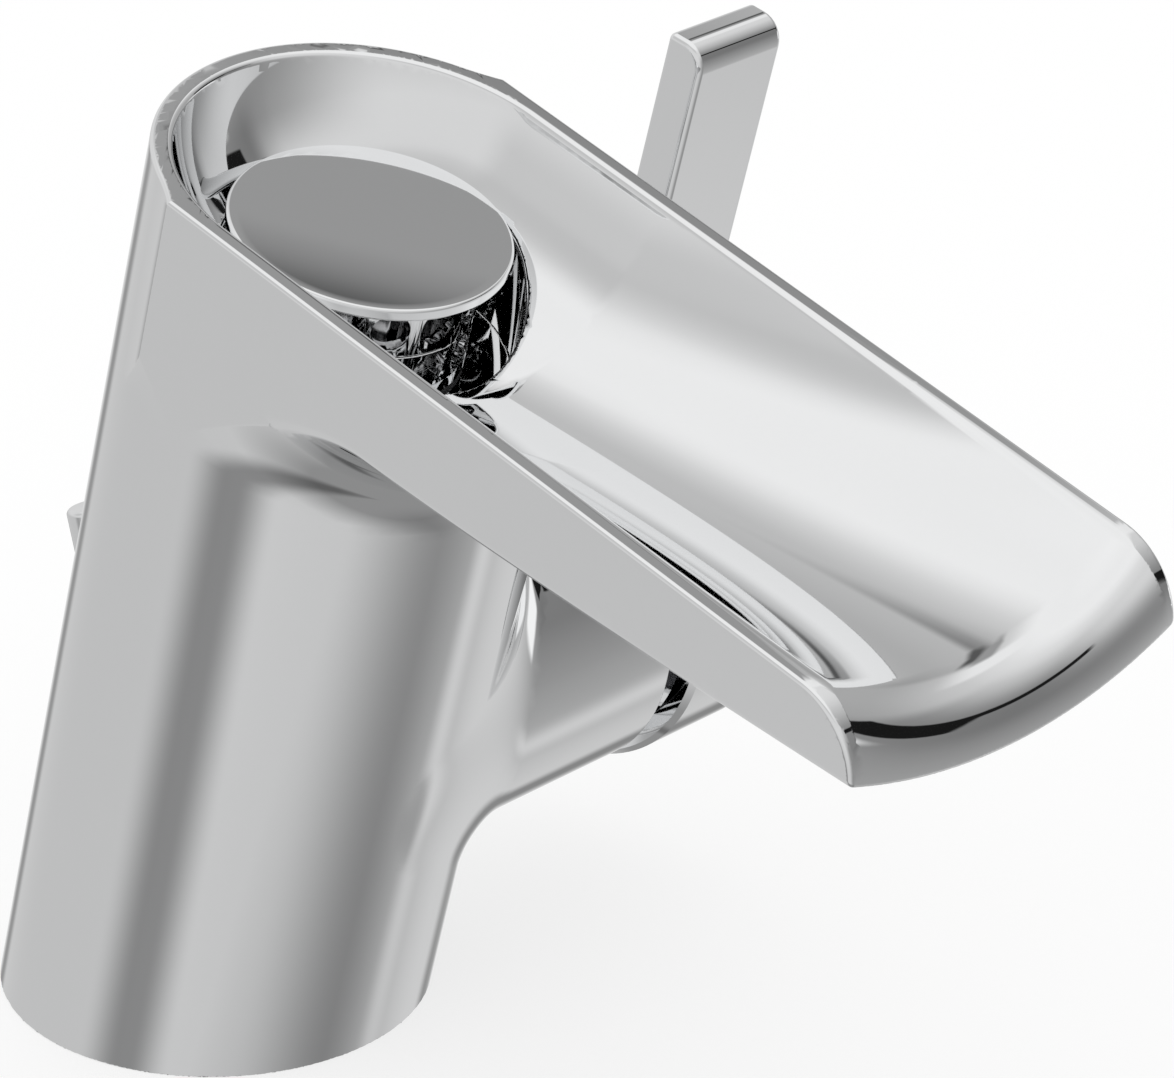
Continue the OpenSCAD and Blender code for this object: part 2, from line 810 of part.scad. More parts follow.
module handle_hub() {
    floor_x = hub_x + hub_recess;
    lever_slot = lever_thickness + 2 * seat_gap;
    head_top = stem_half + seat_gap + screw_head + seat_gap;
    color([0.78, 0.79, 0.8])
        difference() {
            union() {
                along_branch() difference() {
                    hub_outside();
                    translate([0, 0, hub_x - over]) cylinder(r = hub_recess_r, h = hub_recess + over);
                }
                along_branch() translate([0, 0, floor_x - hub_boss])
                    cylinder(r = hub_boss_r, h = hub_boss + over);
            }
            at_branch() {
                translate([floor_x - hub_boss - over, -stem_half - seat_gap, -stem_half - seat_gap])
                    cube([socket_end_x - floor_x + hub_boss + over, stem_side + 2 * seat_gap,
                          stem_side + 2 * seat_gap]);
                translate([screw_x, 0, -hub_r - over]) cylinder(r = access_r, h = hub_r + over + head_top);
                translate([screw_x, 0, 0]) cylinder(r = screw_shank_r + seat_gap, h = hub_r);
                translate([hub_x - over, -lever_slot / 2, hub_r - lever_foot])
                    cube([hub_length + 2 * over, lever_slot, hub_r]);
            }
        }
}

// Side outline of the lever: a flat bar whose top is round at the front and tight at the back
module lever_outline() {
    steps = 10;
    half = lever_thickness / 2;
    foot = hub_r - lever_foot;
    back_top = lever_tip - lever_back_r / 2;
    back_arc = [for (i = [0 : steps]) [half - lever_back_r + lever_back_r * cos(90 * i / steps),
        back_top - lever_back_r + lever_back_r * sin(90 * i / steps)]];
    front_arc = [for (i = [0 : steps]) [-half + lever_front_r - lever_front_r * sin(90 * i / steps),
        lever_tip - lever_front_r + lever_front_r * cos(90 * i / steps)]];
    polygon(concat([[-half, foot], [half, foot]], back_arc, front_arc));
}

module lever_bar() {
    color([0.78, 0.79, 0.8]) at_branch()
        difference() {
            translate([hub_x, 0, 0]) rotate([90, 0, 90]) linear_extrude(hub_length) lever_outline();
            translate([screw_x, 0, 0]) cylinder(r = screw_shank_r + seat_gap, h = hub_r + screw_reach);
        }
}

module lever_screw() {
    head_bottom = stem_half + seat_gap;
    color([0.6, 0.61, 0.63]) at_branch() translate([screw_x, 0, head_bottom])
        difference() {
            union() {
                cylinder(r = access_r - seat_gap, h = screw_head);
                cylinder(r = screw_shank_r, h = hub_r + screw_reach - head_bottom - seat_gap);
            }
            translate([0, 0, -over]) cylinder(r = screw_key_r, h = screw_key + over, $fn = 6);
        }
}

module grub_screw() {
    color([0.35, 0.35, 0.37]) at_branch() translate([screw_x, 0, -stem_half - seat_gap - grub_length])
        difference() {
            cylinder(r = access_r - seat_gap, h = grub_length);
            translate([0, 0, -over]) cylinder(r = screw_key_r, h = screw_key + over, $fn = 6);
        }
}

module screw_plug() {
    color([0.78, 0.79, 0.8]) at_branch() translate([screw_x, 0, -hub_r + plug_inset])
        cylinder(r = access_r - seat_gap, h = plug_length);
}

module lift_rod() {
    top = knob_length - knob_spigot;
    color([0.78, 0.79, 0.8]) along_rod()
        difference() {
            translate([0, 0, top]) cylinder(r = rod_r, h = rod_end - top);
            translate([0, 0, rod_end - rod_socket]) cylinder(r = rod_socket_r, h = rod_socket + over);
        }
}

module lift_knob() {
    color([0.78, 0.79, 0.8]) along_rod()
        difference() {
            translate([0, 0, knob_length]) mirror([0, 0, 1]) edged_disc(knob_r, knob_length, knob_edge);
            translate([0, 0, knob_length - knob_spigot - seat_gap])
                cylinder(r = rod_r + seat_gap, h = knob_spigot + over);
        }
}

body_casting();
base_gasket();
inlet_block();
block_clip();
cold_riser();
hot_riser();
outlet_riser();
cartridge_socket();
port_gasket();
cartridge_base();
cartridge_housing();
fixed_disc();
clamp_nut();
neck_ring();
outlet_gasket();
outlet_hub();
lower_ring();
upper_ring();
flow_sleeve();
cap_stud();
outlet_cap();
rod_bush();
rotor();
rotor_o_ring();
pivot_pin();
moving_disc();
disc_carrier();
stem();
handle_hub();
lever_bar();
lever_screw();
grub_screw();
screw_plug();
lift_rod();
lift_knob();
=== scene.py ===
# Waterfall basin mixer: looks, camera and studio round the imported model
import math
import bpy
import numpy as np
from mathutils import Matrix, Vector


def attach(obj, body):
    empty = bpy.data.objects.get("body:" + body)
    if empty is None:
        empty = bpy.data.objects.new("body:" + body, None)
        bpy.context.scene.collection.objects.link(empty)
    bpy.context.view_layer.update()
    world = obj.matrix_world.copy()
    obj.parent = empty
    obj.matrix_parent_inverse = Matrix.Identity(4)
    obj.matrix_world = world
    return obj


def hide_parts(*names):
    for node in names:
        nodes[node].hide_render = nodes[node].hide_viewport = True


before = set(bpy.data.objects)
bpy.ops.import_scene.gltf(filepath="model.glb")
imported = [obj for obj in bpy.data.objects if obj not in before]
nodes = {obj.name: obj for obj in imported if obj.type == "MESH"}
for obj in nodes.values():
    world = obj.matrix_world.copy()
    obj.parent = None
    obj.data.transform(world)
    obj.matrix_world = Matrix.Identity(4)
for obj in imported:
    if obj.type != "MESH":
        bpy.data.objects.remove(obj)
scene = bpy.context.scene
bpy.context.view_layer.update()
mm = 0.001

# Sizes in millimetres and the lean in degrees, the same as in part.scad
body = {"lean": 16.0, "rim": 114.0, "radius": 25.0, "wall": 2.3, "branchHeight": 41.0}
leanSin, leanCos = math.sin(math.radians(body["lean"])), math.cos(math.radians(body["lean"]))


# Shader helpers

class Term:
    # a number socket that Python's own operators work on
    def __init__(self, tree, socket):
        self.tree, self.socket = tree, socket

    def math(self, operation, *others, flipped=False, clamp=False):
        made = self.tree.nodes.new("ShaderNodeMath")
        made.operation, made.use_clamp = operation, clamp
        order = (*others, self) if flipped else (self, *others)
        for slot, value in zip(made.inputs, order):
            if isinstance(value, Term):
                self.tree.links.new(value.socket, slot)
            else:
                slot.default_value = value
        return Term(self.tree, made.outputs[0])

    def __add__(self, other):
        return self.math("ADD", other)

    def __sub__(self, other):
        return self.math("SUBTRACT", other)

    def __rsub__(self, other):
        return self.math("SUBTRACT", other, flipped=True)

    def __mul__(self, other):
        return self.math("MULTIPLY", other)

    def __truediv__(self, other):
        return self.math("DIVIDE", other)

    def __rtruediv__(self, other):
        return self.math("DIVIDE", other, flipped=True)

    def __neg__(self):
        return self.math("MULTIPLY", -1.0)

    __radd__, __rmul__ = __add__, __mul__


class Tree:
    # the nodes of a material, of the world or of a modifier
    def __init__(self, tree):
        self.tree = tree
        tree.nodes.clear()

    def add(self, kind, settings=None, stops=None, values=None):
        made = self.tree.nodes.new(kind)
        for key, value in (settings or {}).items():
            setattr(made, key, value)
        if stops:
            ramp = made.color_ramp
            while len(ramp.elements) < len(stops):
                ramp.elements.new(0.5)
            for element, (place, tone) in zip(ramp.elements, stops):
                element.position = place
                element.color = (tone, tone, tone, 1)
        for key, value in (values or {}).items():
            slot = made.inputs[key]
            value = value.socket if isinstance(value, Term) else value
            if isinstance(value, bpy.types.NodeSocket):
                self.tree.links.new(value, slot)
            else:
                slot.default_value = value
        return made

    def term(self, node, output=0):
        return Term(self.tree, node.outputs[output])

    def number(self, kind, **rest):
        return self.term(self.add(kind, **rest))


def shaderOf(owner):
    owner.use_nodes = True
    return Tree(owner.node_tree)


def dress(piece, material):
    piece.data.materials.clear()
    piece.data.materials.append(material)


# Materials

# How handling marks and fine grain vary a metal: the mark size is in millimetres, the grain depth in metres
wear = {"markSize": 24.0, "grainScale": 900.0, "grainDepth": 0.00002, "markShare": 0.6, "grainShare": 0.4,
        "darkest": 0.985, "lightest": 1.012, "leastRough": 0.012}

# How moulded and ground surfaces vary
matt = {"cloudScale": 60.0, "darkest": 0.93, "lightest": 1.05, "bump": 0.6, "spread": 0.06}


def tinted(shade, factor, tint, style):
    # the tint, from a little darker to a little lighter; sockets 6 and 7 are the Mix node's two colours
    dark = (*[c * style["darkest"] for c in tint], 1)
    light = (*[min(1.0, c * style["lightest"]) for c in tint], 1)
    mix = shade.add("ShaderNodeMix", {"data_type": "RGBA"}, values={"Factor": factor, 6: dark, 7: light})
    return mix.outputs[2]


def metal(name, tint, rough, spread, grain=0.0):
    # polished or turned metal: the gloss varies a little with handling marks, and a fine grain can be added
    material = bpy.data.materials.new(name)
    shade = shaderOf(material)
    place = shade.add("ShaderNodeTexCoord").outputs["Object"]
    marks = shade.number("ShaderNodeTexNoise", values={
        "Vector": place, "Scale": 1000.0 / wear["markSize"], "Detail": 4.0, "Roughness": 0.55})
    fine = shade.number("ShaderNodeTexNoise", values={
        "Vector": place, "Scale": wear["grainScale"], "Detail": 3.0, "Roughness": 0.6})
    gloss = rough + (marks - 0.5) * spread + (fine - 0.5) * (spread * wear["grainShare"])
    blend = marks * wear["markShare"] + fine * wear["grainShare"]
    tone = tinted(shade, blend.math("MULTIPLY", 1.0, clamp=True), tint, wear)
    finish = shade.add("ShaderNodeBsdfPrincipled", values={
        "Base Color": tone, "Metallic": 1.0, "Roughness": gloss.math("MAXIMUM", wear["leastRough"])})
    if grain:
        bump = shade.add("ShaderNodeBump", values={
            "Strength": grain, "Distance": wear["grainDepth"], "Height": fine})
        shade.tree.links.new(bump.outputs[0], finish.inputs["Normal"])
    shade.add("ShaderNodeOutputMaterial", values={"Surface": finish.outputs[0]})
    return material


def plain(name, tint, rough, bumpScale, bumpDepth):
    # moulded or ground surfaces: rubber, plastic and ceramic
    material = bpy.data.materials.new(name)
    shade = shaderOf(material)
    place = shade.add("ShaderNodeTexCoord").outputs["Object"]
    cloud = shade.number("ShaderNodeTexNoise", values={
        "Vector": place, "Scale": matt["cloudScale"], "Detail": 3.0})
    fine = shade.number("ShaderNodeTexNoise", values={"Vector": place, "Scale": bumpScale, "Detail": 4.0})
    tone = tinted(shade, cloud, tint, matt)
    bump = shade.add("ShaderNodeBump", values={
        "Strength": matt["bump"], "Distance": bumpDepth, "Height": fine})
    finish = shade.add("ShaderNodeBsdfPrincipled", values={
        "Base Color": tone, "Roughness": rough + (fine - 0.5) * matt["spread"], "Normal": bump.outputs[0]})
    shade.add("ShaderNodeOutputMaterial", values={"Surface": finish.outputs[0]})
    return material


# Metals have tint, roughness and its spread; the others tint, roughness, bump scale and bump depth in metres
chromeTint = (0.88, 0.885, 0.89)
finishes = {
    "chrome": metal("chrome", chromeTint, 0.028, 0.016),
    "chromeTrim": metal("chromeTrim", chromeTint, 0.022, 0.012),
    "brass": metal("brass", (0.78, 0.60, 0.30), 0.26, 0.12, grain=0.5),
    "copper": metal("copper", (0.80, 0.44, 0.30), 0.24, 0.12, grain=0.4),
    "steel": metal("steel", (0.60, 0.60, 0.61), 0.22, 0.10, grain=0.5),
    "blackSteel": metal("blackSteel", (0.16, 0.16, 0.17), 0.34, 0.10, grain=0.5),
    # Nickel tinted nearly black: painted shade for the dark recess between the branch and the lever hub
    "paintedShadeNickel": metal("paintedShadeNickel", (0.07, 0.07, 0.075), 0.06, 0.03),
    "rubber": plain("rubber", (0.022, 0.022, 0.024), 0.62, 2400.0, 0.00006),
    "whitePlastic": plain("whitePlastic", (0.82, 0.82, 0.79), 0.42, 1500.0, 0.00002),
    "bluePlastic": plain("bluePlastic", (0.05, 0.12, 0.36), 0.40, 1500.0, 0.00002),
    "ceramic": plain("ceramic", (0.86, 0.84, 0.79), 0.30, 2600.0, 0.00001),
}

# The CAD nodes by finish, also the ones that a piece below replaces
carried = {
    "brass": ["inlet_block", "cartridge_socket"],
    "copper": ["cold_riser", "hot_riser", "outlet_riser"],
    "steel": ["block_clip", "cap_stud", "pivot_pin", "stem", "lever_screw", "flow_sleeve"],
    "blackSteel": ["grub_screw"],
    # The neck ring and clamp nut get the near-black tint as painted shade of the recess they sit in
    "paintedShadeNickel": ["clamp_nut", "neck_ring"],
    "rubber": ["base_gasket", "port_gasket", "outlet_gasket", "rotor_o_ring"],
    "whitePlastic": ["cartridge_base", "cartridge_housing", "rod_bush"],
    "bluePlastic": ["rotor", "disc_carrier"],
    "ceramic": ["fixed_disc", "moving_disc"],
    "chrome": ["outlet_cap", "handle_hub", "lever_bar", "screw_plug", "lift_knob", "body_casting"],
    "chromeTrim": ["lower_ring", "upper_ring", "lift_rod", "outlet_hub"],
}
for finish, names in carried.items():
    for name in names:
        dress(nodes[name], finishes[finish])
print("stage 1: materials")


# Mesh helpers

def meshPiece(name, points, faces, material, normals):
    mesh = bpy.data.meshes.new(name)
    mesh.from_pydata([tuple(p) for p in points], [], [tuple(f) for f in faces])
    mesh.validate()
    mesh.polygons.foreach_set("use_smooth", [True] * len(mesh.polygons))
    piece = bpy.data.objects.new(name, mesh)
    scene.collection.objects.link(piece)
    mesh.materials.append(material)
    mesh.normals_split_custom_set_from_vertices([tuple(n) for n in normals])
    mesh.update()
    return piece


def stands(piece, bodyName, slot, *replaced):
    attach(piece, bodyName)
    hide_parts(*replaced)
    print("piece:", piece.name, len(piece.data.polygons), "faces")


def toDeck(vectors):
    # from the leaning body's frame to the upright one of the deck that it stands on
    v = np.asarray(vectors, float)
    back = v[:, 1] * leanCos - v[:, 2] * leanSin
    up = v[:, 1] * leanSin + v[:, 2] * leanCos
    return np.stack([v[:, 0], back, up], 1)


# Rounded union and rounded intersection of two distance fields

def joined(a, b, radius, cosine=0.0):
    # the cosine is that of the angle between the directions in which the two surfaces face
    u, v = np.maximum(radius - a, 0), np.maximum(radius - b, 0)
    cosine = np.clip(cosine, -0.99, 0.99)
    arc = radius - np.sqrt((u * u + v * v - 2 * cosine * u * v) / (1 - cosine ** 2))
    return np.where((u > cosine * v) & (v > cosine * u), arc, np.minimum(a, b))


def common(a, b, radius, cosine=0.0):
    return -joined(-a, -b, radius, cosine)


def surfaceNet(field, lowest, highest, step):
    # one point in each cell that the surface crosses, and one four-sided face across each crossed grid line
    axes = [np.arange(lowest[a], highest[a] + step, step) for a in range(3)]
    value = field(*np.meshgrid(*axes, indexing="ij"))
    cells = tuple(n - 1 for n in value.shape)
    total, count = np.zeros(cells + (3,)), np.zeros(cells)
    crossings = []
    for axis in range(3):
        side = [a for a in range(3) if a != axis]
        first = value[tuple(slice(0, -1) if a == axis else slice(None) for a in range(3))]
        second = value[tuple(slice(1, None) if a == axis else slice(None) for a in range(3))]
        crossed = (first < 0) != (second < 0)
        share = np.where(crossed, first / np.where(crossed, first - second, 1), 0)
        crossings.append((crossed, first < 0))
        for da in (0, 1):
            for db in (0, 1):
                cut = [slice(None)] * 3
                cut[side[0]] = slice(da, cells[side[0]] + da)
                cut[side[1]] = slice(db, cells[side[1]] + db)
                hit = crossed[tuple(cut)]
                count += hit
                total[..., axis] += np.where(hit, share[tuple(cut)], 0)
                total[..., side[0]] += hit * da
                total[..., side[1]] += hit * db
    active = count > 0
    index = np.full(cells, -1)
    index[active] = np.arange(active.sum())
    corner = np.stack(np.nonzero(active), 1)
    points = np.asarray(lowest) + (corner + total[active] / count[active][:, None]) * step
    faces = []
    for axis in range(3):
        b, c = (axis + 1) % 3, (axis + 2) % 3
        crossed, solidFirst = crossings[axis]
        inner = [slice(None)] * 3
        inner[b] = slice(1, -1)
        inner[c] = slice(1, -1)
        place = np.stack(np.nonzero(crossed[tuple(inner)]), 1)
        place[:, b] += 1
        place[:, c] += 1
        solid = solidFirst[tuple(place.T)]
        ring = []
        for db, dc in ((1, 1), (0, 1), (0, 0), (1, 0)):
            cell = place.copy()
            cell[:, b] -= db
            cell[:, c] -= dc
            ring.append(index[tuple(cell.T)])
        quad = np.stack(ring, 1)
        quad[~solid] = quad[~solid][:, ::-1]
        faces.append(quad)
    return points, np.concatenate(faces)


def slopes(field, points, reach=0.01):
    # which way the field grows at each point, and how fast
    made = np.empty_like(points)
    for axis in range(3):
        step = np.zeros(3)
        step[axis] = reach
        ahead, behind = points + step, points - step
        made[:, axis] = (field(*ahead.T) - field(*behind.T)) / (2 * reach)
    return made


def settled(field, points, rounds=6, longest=0.6):
    # moves the points onto the surface, each by no more than the longest step in a round
    points = points.copy()
    for _ in range(rounds):
        slope = slopes(field, points)
        move = -field(*points.T)[:, None] * slope / np.maximum((slope ** 2).sum(1), 0.05)[:, None]
        size = np.linalg.norm(move, axis=1, keepdims=True)
        points += move * np.minimum(1, longest / np.maximum(size, 1e-9))
    return points


def triangles(points, quads):
    # cuts each four-sided face along its shorter diagonal
    a, b, c, d = quads.T
    shorter = np.linalg.norm(points[a] - points[c], axis=1) <= np.linalg.norm(points[b] - points[d], axis=1)
    first = np.where(shorter[:, None], np.stack([a, b, c], 1), np.stack([a, b, d], 1))
    second = np.where(shorter[:, None], np.stack([a, c, d], 1), np.stack([b, c, d], 1))
    return np.concatenate([first, second])


def refined(field, points, faces, turn, shortest, rounds):
    # halves each edge whose ends' normals differ by more than the turn, unless it is too short already,
    # and sets the new points on the surface
    for _ in range(rounds):
        normals = slopes(field, points)
        normals /= np.maximum(np.linalg.norm(normals, axis=1, keepdims=True), 1e-9)
        edges = np.sort(np.concatenate([faces[:, [0, 1]], faces[:, [1, 2]], faces[:, [2, 0]]]), axis=1)
        unique, back = np.unique(edges, axis=0, return_inverse=True)
        back = back.ravel()
        p, q = unique.T
        bend = np.degrees(np.arccos(np.clip((normals[p] * normals[q]).sum(1), -1, 1)))
        long = np.linalg.norm(points[p] - points[q], axis=1)
        middle = (points[p] + points[q]) / 2
        marked = (bend > turn) & (long > shortest(middle))
        if not marked.any():
            break
        fresh = np.full(len(unique), -1)
        fresh[marked] = len(points) + np.arange(marked.sum())
        points = np.concatenate([points, settled(field, middle[marked], rounds=5, longest=0.4)])
        n = len(faces)
        ab, bc, ca = fresh[back[:n]], fresh[back[n:2 * n]], fresh[back[2 * n:]]
        a, b, c = faces.T
        code = (ab >= 0) + 2 * (bc >= 0) + 4 * (ca >= 0)
        parts = [faces[code == 0]]

        def split(mask, *corners):
            parts.append(np.stack([corner[mask] for corner in corners], 1))
        turns = ((a, b, c, ab, bc), (b, c, a, bc, ca), (c, a, b, ca, ab))
        for value, (u, v, w, uv, vw) in zip((1, 2, 4), turns):
            one = code == value
            split(one, u, uv, w)
            split(one, uv, v, w)
        for value, (u, v, w, uv, vw) in zip((3, 6, 5), turns):
            two = code == value
            split(two, uv, v, vw)
            split(two, u, uv, vw)
            split(two, u, vw, w)
        three = code == 7
        split(three, a, ab, ca)
        split(three, ab, b, bc)
        split(three, ca, bc, c)
        split(three, ab, bc, ca)
        faces = np.concatenate(parts)
    return points, faces


# The casting: one field for body, spout, channel, bowl and branch, blended as the polished casting is

casting = {
    "webRadius": 11.0, "sideEdge": 0.7, "rimEdge": 0.5,
    "branchRadius": 22.35, "branchEnd": 43.13, "branchEdge": 0.4, "branchFillet": 4.0,
    "lipReach": 121.0, "lipBow": 0.6, "lipRadius": 8.4, "lipCosine": 0.2,
    "bowlDepth": 16.8, "floorDepth": 20.2, "floorRise": 0.1664, "floorLeast": 1.0, "floorBlend": 3.0,
    "floorCosine": 0.9, "pitRadius": 16.9, "pitAhead": 1.7, "pitDepth": 22.3, "pitEdge": 0.3,
    "under": {"back": 55.3, "depth": 29.8, "slope": 7.15, "half": 28.8}, "footGap": 0.03,
    "pocketRadius": 21.4, "pocketTop": 21.55, "boreRadius": 20.4, "boreTop": 78.0,
    "grooveRadius": 22.45, "grooveMiddle": 8.9, "grooveHalf": 0.65,
    "riserRadius": 5.05, "riserMiddle": 84.0, "riserHalf": 7.0,
    "outletRadius": 8.0, "outletDrop": 9.2, "outletOver": 1.0,
    "socketRadius": 19.0, "nutRadius": 20.0, "nutStart": 34.0,
    "rodBore": 3.25, "rodTop": (18.8, 54.5), "rodTilt": 14.5,
    "guideRadius": 5.5, "guideWall": 1.8, "guideFoot": 28.0,
}

# How the casting's surface is cut into triangles, in millimetres, with the turn in degrees
castingMesh = {
    "box": ((-27.1, -101.0, -9.1), (44.9, 27.1, 116.3)), "grid": 1.2, "turn": 10.0, "rounds": 5,
    "finest": 0.34, "rimFinest": 0.15, "rimBand": 1.0, "normalReach": 0.02,
    "innerFinest": 1.6, "innerRadius": 24.2, "innerTop": 90.0, "innerEnd": 42.0,
}


def coneField(x, along, above, back, depth, slope, half):
    # a round cone whose tip is behind the axis and below the rim; its lower edge rises by the slope
    forward, up = along + back, above + depth
    lift, opening = math.radians(slope + half), math.radians(half)
    axial = forward * math.cos(lift) + up * math.sin(lift)
    radial = np.sqrt(np.maximum(x * x + forward * forward + up * up - axial * axial, 1e-9))
    return radial * math.cos(opening) - axial * math.sin(opening)


def troughField(x, along, above, radial):
    # a round hollow from rim to rim: a bowl behind and round the pit, then a floor that rises towards the lip
    c = casting
    half = body["radius"] - body["wall"]
    floor = np.maximum(c["floorDepth"] - c["floorRise"] * along, c["floorLeast"])
    depth = joined(c["bowlDepth"], floor, c["floorBlend"], c["floorCosine"])
    curve = (half ** 2 + depth ** 2) / (2 * depth)
    return curve - np.hypot(np.where(along > 0, x, radial), above + depth - curve)


def castingField(x, y, z):
    # below 0 in the metal, in the leaning frame: x along the branch, y to the back, z up the body's axis
    c = casting
    along, above = -y, z - body["rim"]
    radial = np.hypot(x, y)
    deckY, deckZ = y * leanCos - z * leanSin, y * leanSin + z * leanCos
    spout = np.maximum(coneField(x, along, above, **c["under"]), -along)
    shape = joined(radial - body["radius"], spout, c["webRadius"])
    leaning = np.where(radial - body["radius"] < spout, np.abs(x) / np.maximum(radial, 1e-6), 0)
    shape = common(shape, np.abs(x) - body["radius"], c["sideEdge"], leaning)
    branchRadial = np.hypot(y, z - body["branchHeight"])
    branchLong = np.maximum(x - c["branchEnd"], -x)
    branch = common(branchRadial - c["branchRadius"], branchLong, c["branchEdge"])
    shape = joined(shape, branch, c["branchFillet"])
    lip = -deckY - c["lipReach"] + c["lipBow"] * (x / body["radius"]) ** 2
    top = common(troughField(x, along, above, radial), above, c["rimEdge"])
    shape = common(shape, common(top, lip, c["lipRadius"], c["lipCosine"]), c["rimEdge"])
    pit = np.maximum(np.hypot(x, y + c["pitAhead"]) - c["pitRadius"], -(above + c["pitDepth"]))
    shape = common(shape, -pit, c["pitEdge"])
    # the hollows inside, with the lift rod's guide left standing in them
    rodY, rodZ = deckY - c["rodTop"][0], deckZ - c["rodTop"][1]
    tilt = math.radians(c["rodTilt"])
    rodRadial = np.hypot(x, rodY * math.cos(tilt) - rodZ * math.sin(tilt))
    pocket = np.maximum(radial - c["pocketRadius"], z - c["pocketTop"])
    bore = np.maximum(radial - c["boreRadius"], z - c["boreTop"])
    groove = np.maximum(radial - c["grooveRadius"], np.abs(z - c["grooveMiddle"]) - c["grooveHalf"])
    riser = np.maximum(radial - c["riserRadius"], np.abs(z - c["riserMiddle"]) - c["riserHalf"])
    outletMiddle = body["rim"] - c["pitDepth"] - c["outletDrop"] / 2 + c["outletOver"]
    outletLong = np.abs(z - outletMiddle) - c["outletDrop"] / 2 - c["outletOver"]
    outlet = np.maximum(radial - c["outletRadius"], outletLong)
    socket = np.maximum(branchRadial - c["socketRadius"], -x)
    nut = np.maximum(branchRadial - c["nutRadius"], c["nutStart"] - x)
    hollow = np.minimum.reduce([pocket, bore, groove, riser, outlet, socket, nut])
    guideWall = radial - body["radius"] + c["guideWall"]
    guide = np.maximum(np.maximum(rodRadial - c["guideRadius"], guideWall), c["guideFoot"] - deckZ)
    guide = np.maximum(guide, -y)
    hollow = np.maximum(hollow, -guide)
    shape = np.maximum(shape, -hollow)
    shape = np.maximum(shape, -np.maximum(rodRadial - c["rodBore"], -y))
    return np.maximum(shape, c["footGap"] - deckZ)


def shortestEdge(points):
    # finest at the rim, coarse in the hollows
    m = castingMesh
    x, y, z = points.T
    deep = (np.hypot(x, y) < m["innerRadius"]) & (z < m["innerTop"]) & (x < m["innerEnd"])
    outer = np.where(z > body["rim"] - m["rimBand"], m["rimFinest"], m["finest"])
    return np.where(deep, m["innerFinest"], outer)


def buildCasting():
    m = castingMesh
    points, quads = surfaceNet(castingField, *m["box"], m["grid"])
    points = settled(castingField, points)
    faces = triangles(points, quads)
    points, faces = refined(castingField, points, faces, m["turn"], shortestEdge, m["rounds"])
    normals = slopes(castingField, points, m["normalReach"])
    normals /= np.maximum(np.linalg.norm(normals, axis=1, keepdims=True), 1e-9)
    print("casting:", len(points), "points,", len(faces), "triangles")
    piece = meshPiece("castingShell", toDeck(points) * mm, faces, finishes["chrome"], toDeck(normals))
    stands(piece, "mixer_body", "chrome", "body_casting")


buildCasting()
print("stage 2: casting")


# Turned pieces and bars: outlines with rounded corners, whose points carry their own normals

leanPlace = Matrix.Rotation(math.radians(body["lean"]), 4, "X") @ Matrix.Scale(mm, 4)
barPlace = leanPlace @ Matrix(((0, 0, 1, 0), (1, 0, 0, 0), (0, 1, 0, body["branchHeight"]), (0, 0, 0, 1)))


def softened(corners, steps, closed):
    # each corner is (across, up, radius), with the solid on the left of the way round
    points, normals = [], []
    count = len(corners)
    for k, (across, up, radius) in enumerate(corners):
        here = Vector((across, up))
        before, after = (Vector(corners[(k + step) % count][:2]) for step in (-1, 1))
        into, out = (here - before).normalized(), (after - here).normalized()
        first, last = Vector((into.y, -into.x)), Vector((out.y, -out.x))
        if not closed and k in (0, count - 1):
            facing = last if k == 0 else first
            points.append(here)
            normals.append(Vector((0.0, math.copysign(1.0, facing.y))))
            continue
        middle = (first + last) / (1 + first.dot(last))
        side = math.copysign(1.0, into.x * out.y - into.y * out.x)
        if not radius:
            points.append(here)
            normals.append(middle.normalized())
            continue
        centre = here - middle * (radius * side)
        start = math.atan2(first.y, first.x)
        sweep = math.atan2(first.x * last.y - first.y * last.x, first.dot(last))
        for s in range(steps + 1):
            facing = Vector((math.cos(start + sweep * s / steps), math.sin(start + sweep * s / steps)))
            points.append(centre + facing * (radius * side))
            normals.append(facing)
    return points, normals


def placedPiece(name, points, normals, faces, place, material):
    turn = np.array(place.to_3x3())
    shift = np.array(place.translation)
    points = np.array(points) @ turn.T + shift
    return meshPiece(name, points, faces, material, np.array(normals) @ turn.T / mm)


def turned(name, outline, place, material, around, closed=False, steps=8):
    profile, facing = softened(outline, steps, closed)
    points, normals, rows = [], [], []
    for at, way in zip(profile, facing):
        spins = [2 * math.pi * k / around for k in range(around if at.x > 1e-6 else 1)]
        rows.append(range(len(points), len(points) + len(spins)))
        for spin in spins:
            points.append((at.x * math.cos(spin), at.x * math.sin(spin), at.y))
            normals.append((way.x * math.cos(spin), way.x * math.sin(spin), way.y))
    faces = []
    for lower, upper in zip(rows, rows[1:] + rows[:1] if closed else rows[1:]):
        for k in range(around):
            m = (k + 1) % around
            ring = (lower[k % len(lower)], lower[m % len(lower)],
                    upper[m % len(upper)], upper[k % len(upper)])
            faces.append(list(dict.fromkeys(ring)))  # one point only where the row is a pole
    return placedPiece(name, points, normals, faces, place, material)


